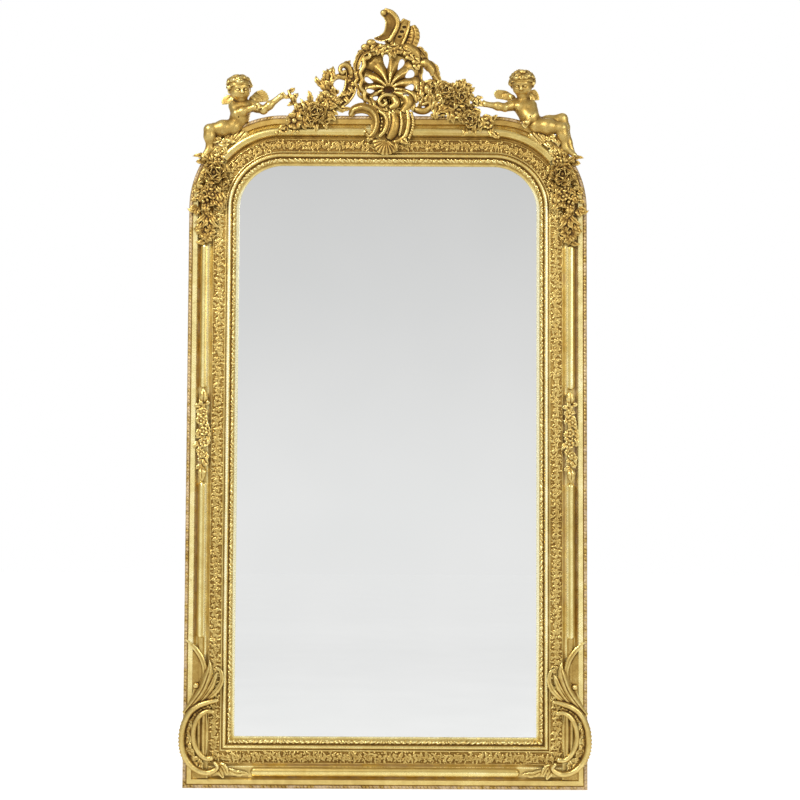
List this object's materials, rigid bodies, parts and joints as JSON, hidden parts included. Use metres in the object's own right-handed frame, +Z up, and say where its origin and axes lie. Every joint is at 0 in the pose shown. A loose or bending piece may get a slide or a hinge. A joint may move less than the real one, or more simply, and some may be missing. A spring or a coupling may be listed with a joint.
{
  "type": "gilded wall mirror",
  "caption": "Tall gilded wall mirror with an arched top, moulded frame, pierced shell crest, seated putti with rose garlands and scrolled corner leaves, hung by swinging rings.",
  "frame": {"origin": "middle of the bottom face of the bottom rail", "axes": "+Z up, +X to the right as seen from the front, +Y back towards the wall"},
  "size_m": [1.0242, 0.0883, 1.9476],
  "materials": {
    "gilt_carcass": "worn gold leaf on gesso, bare wood behind",
    "gilt_moulding": "worn gold leaf on gesso",
    "gilt_carving": "rubbed gold leaf, dark in the recesses",
    "looking_glass": "silvered",
    "bare_wood": "aged pine",
    "old_iron": "dark"
  },
  "bodies": {
    "frame": {"stile_left": "gilt_carcass", "stile_right": "gilt_carcass", "bottom_rail": "gilt_carcass", "top_rail": "gilt_carcass", "corner_block_left": "gilt_carcass", "corner_block_right": "gilt_carcass", "outer_strip_left": "gilt_moulding", "outer_strip_right": "gilt_moulding", "outer_strip_bottom": "gilt_moulding", "outer_strip_arch": "gilt_moulding", "frieze_left": "gilt_moulding", "frieze_right": "gilt_moulding", "frieze_bottom": "gilt_moulding", "frieze_arch": "gilt_moulding", "sight_moulding_left": "gilt_moulding", "sight_moulding_right": "gilt_moulding", "sight_moulding_bottom": "gilt_moulding", "sight_moulding_arch": "gilt_moulding", "reed_left": "gilt_moulding", "reed_right": "gilt_moulding", "reed_bottom": "gilt_moulding", "reed_top_left": "gilt_moulding", "reed_top_right": "gilt_moulding", "crest_shell": "gilt_carving", "crest_plume": "gilt_carving", "crest_scroll_left": "gilt_carving", "crest_scroll_right": "gilt_carving", "crest_clasp": "gilt_carving", "garland_left": "gilt_carving", "garland_right": "gilt_carving", "putto_left": "gilt_carving", "putto_right": "gilt_carving", "putto_left_wings": "gilt_carving", "putto_right_wings": "gilt_carving", "drop_left": "gilt_carving", "drop_right": "gilt_carving", "side_clasp_left": "gilt_carving", "side_clasp_right": "gilt_carving", "corner_ornament_left": "gilt_carving", "corner_ornament_right": "gilt_carving", "mirror_glass": "looking_glass", "joint_dowels": "bare_wood", "crest_brace": "bare_wood", "glazing_blocks": "bare_wood", "backboard_1": "bare_wood", "backboard_2": "bare_wood", "backboard_3": "bare_wood", "backboard_4": "bare_wood", "backboard_5": "bare_wood", "backboard_nails": "old_iron", "brace_screws": "old_iron", "hanger_strap_left": "old_iron", "hanger_strap_right": "old_iron", "hanger_screws_left": "old_iron", "hanger_screws_right": "old_iron"},
    "ring_left": {"hanging_ring_left": "old_iron"},
    "ring_right": {"hanging_ring_right": "old_iron"}
  },
  "joints": [
    {"name": "ring_swing_left", "type": "hinge", "parent": "frame", "child": "ring_left", "pos_m": [-0.448, 0.0254, 1.3], "axis": [1, 0, 0], "range_deg": [0, 170]},
    {"name": "ring_swing_right", "type": "hinge", "parent": "frame", "child": "ring_right", "pos_m": [0.448, 0.0254, 1.3], "axis": [1, 0, 0], "range_deg": [0, 170]}
  ]
}
